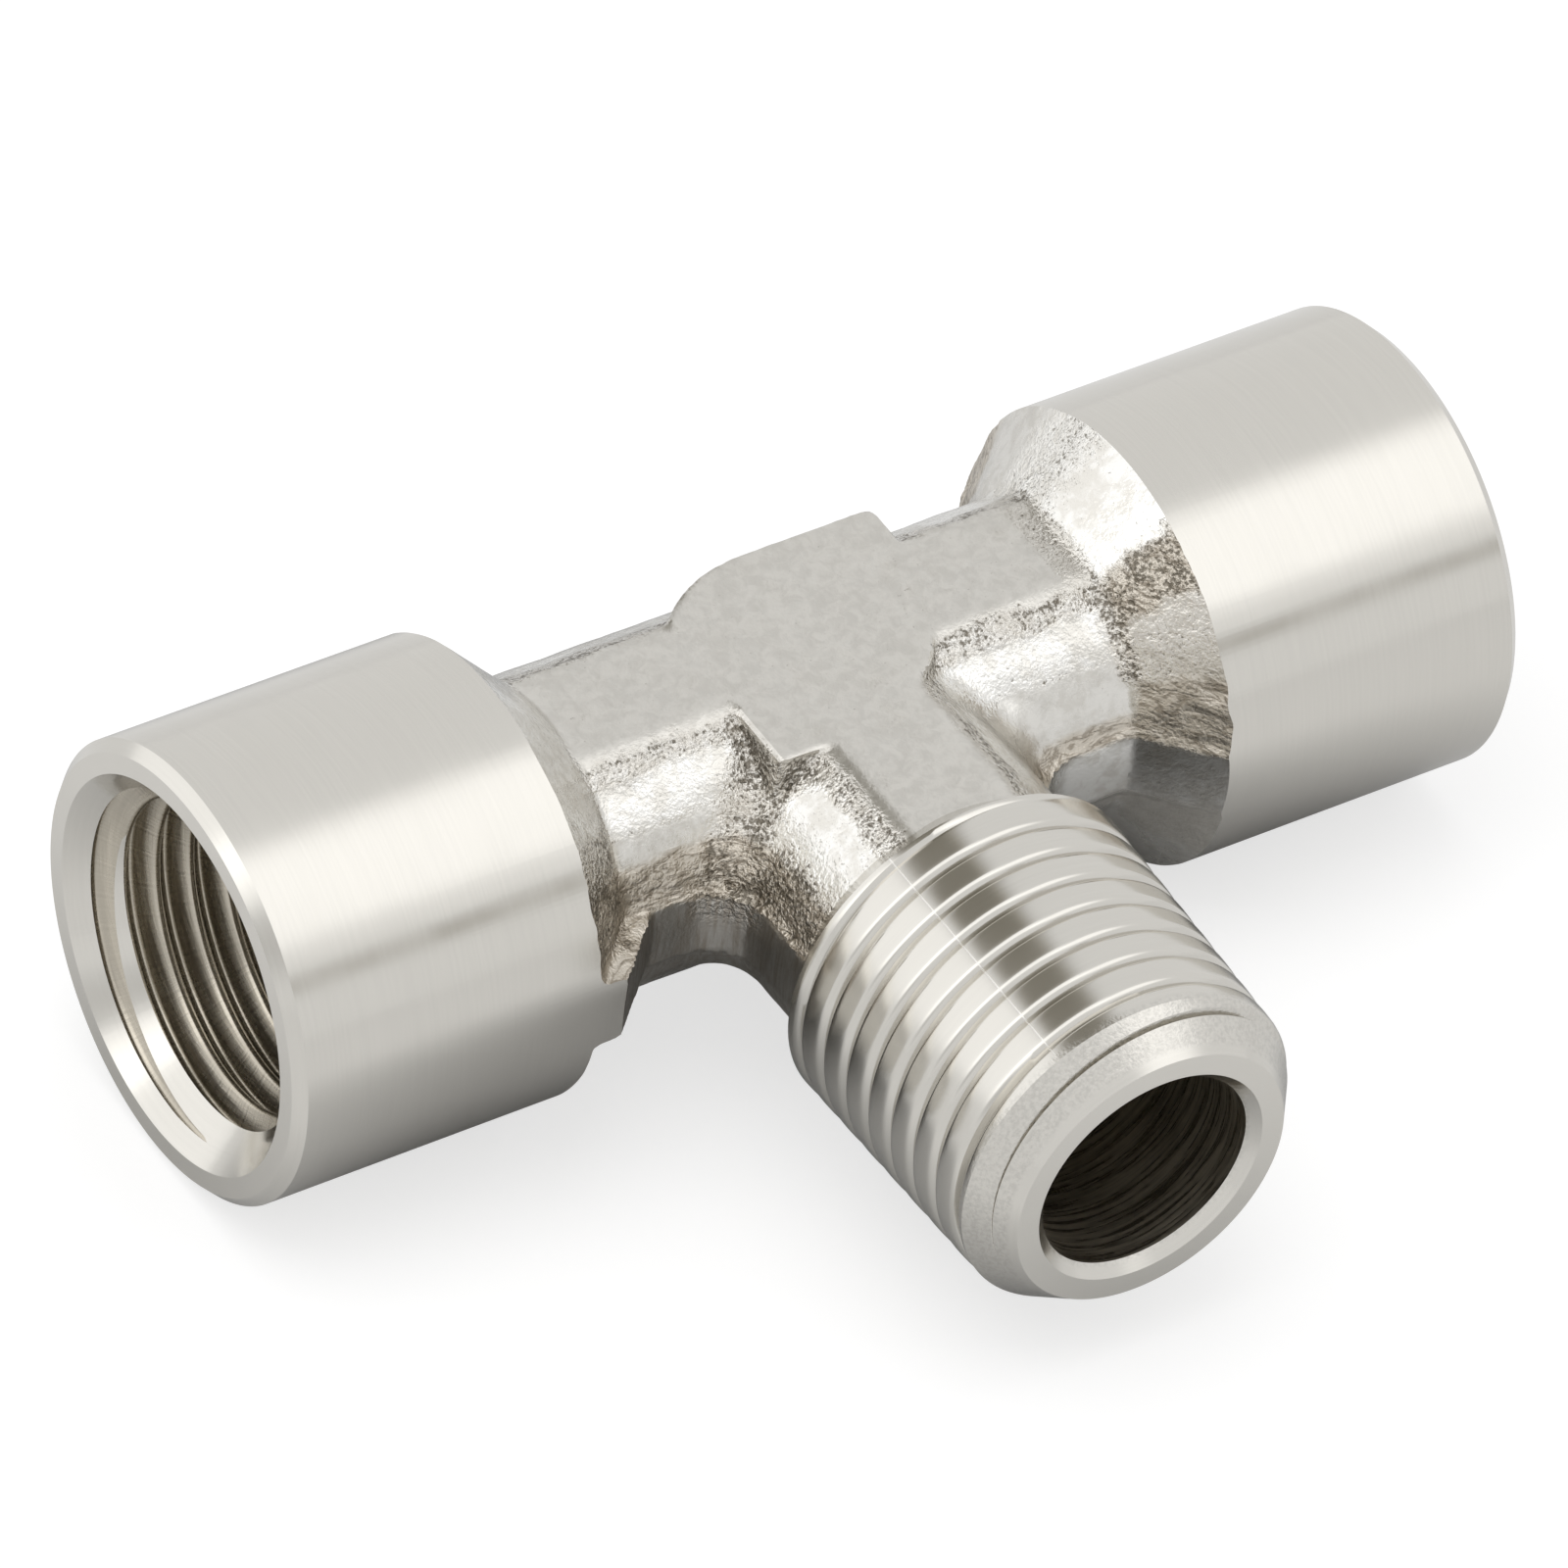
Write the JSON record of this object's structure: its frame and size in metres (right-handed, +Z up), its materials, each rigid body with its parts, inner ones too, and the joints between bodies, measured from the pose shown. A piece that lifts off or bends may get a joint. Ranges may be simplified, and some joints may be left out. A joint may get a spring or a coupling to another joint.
{
  "type": "threaded tee",
  "caption": "Forged pipe tee with internally threaded sockets on a straight run and a taper threaded spigot on the branch, nickel plated.",
  "frame": {"origin": "crossing of the run's and the branch's centre-lines, in the forging's parting plane", "axes": "+X along the straight run, -Y out along the threaded branch, +Z up through the hub pad"},
  "size_m": [0.0488, 0.0311, 0.0164],
  "materials": {
    "nickel_plated_brass": "nickel plated: satin turned ends and threads, rough bright forged middle"
  },
  "bodies": {
    "root": {"tee_body": "nickel_plated_brass"}
  },
  "joints": []
}
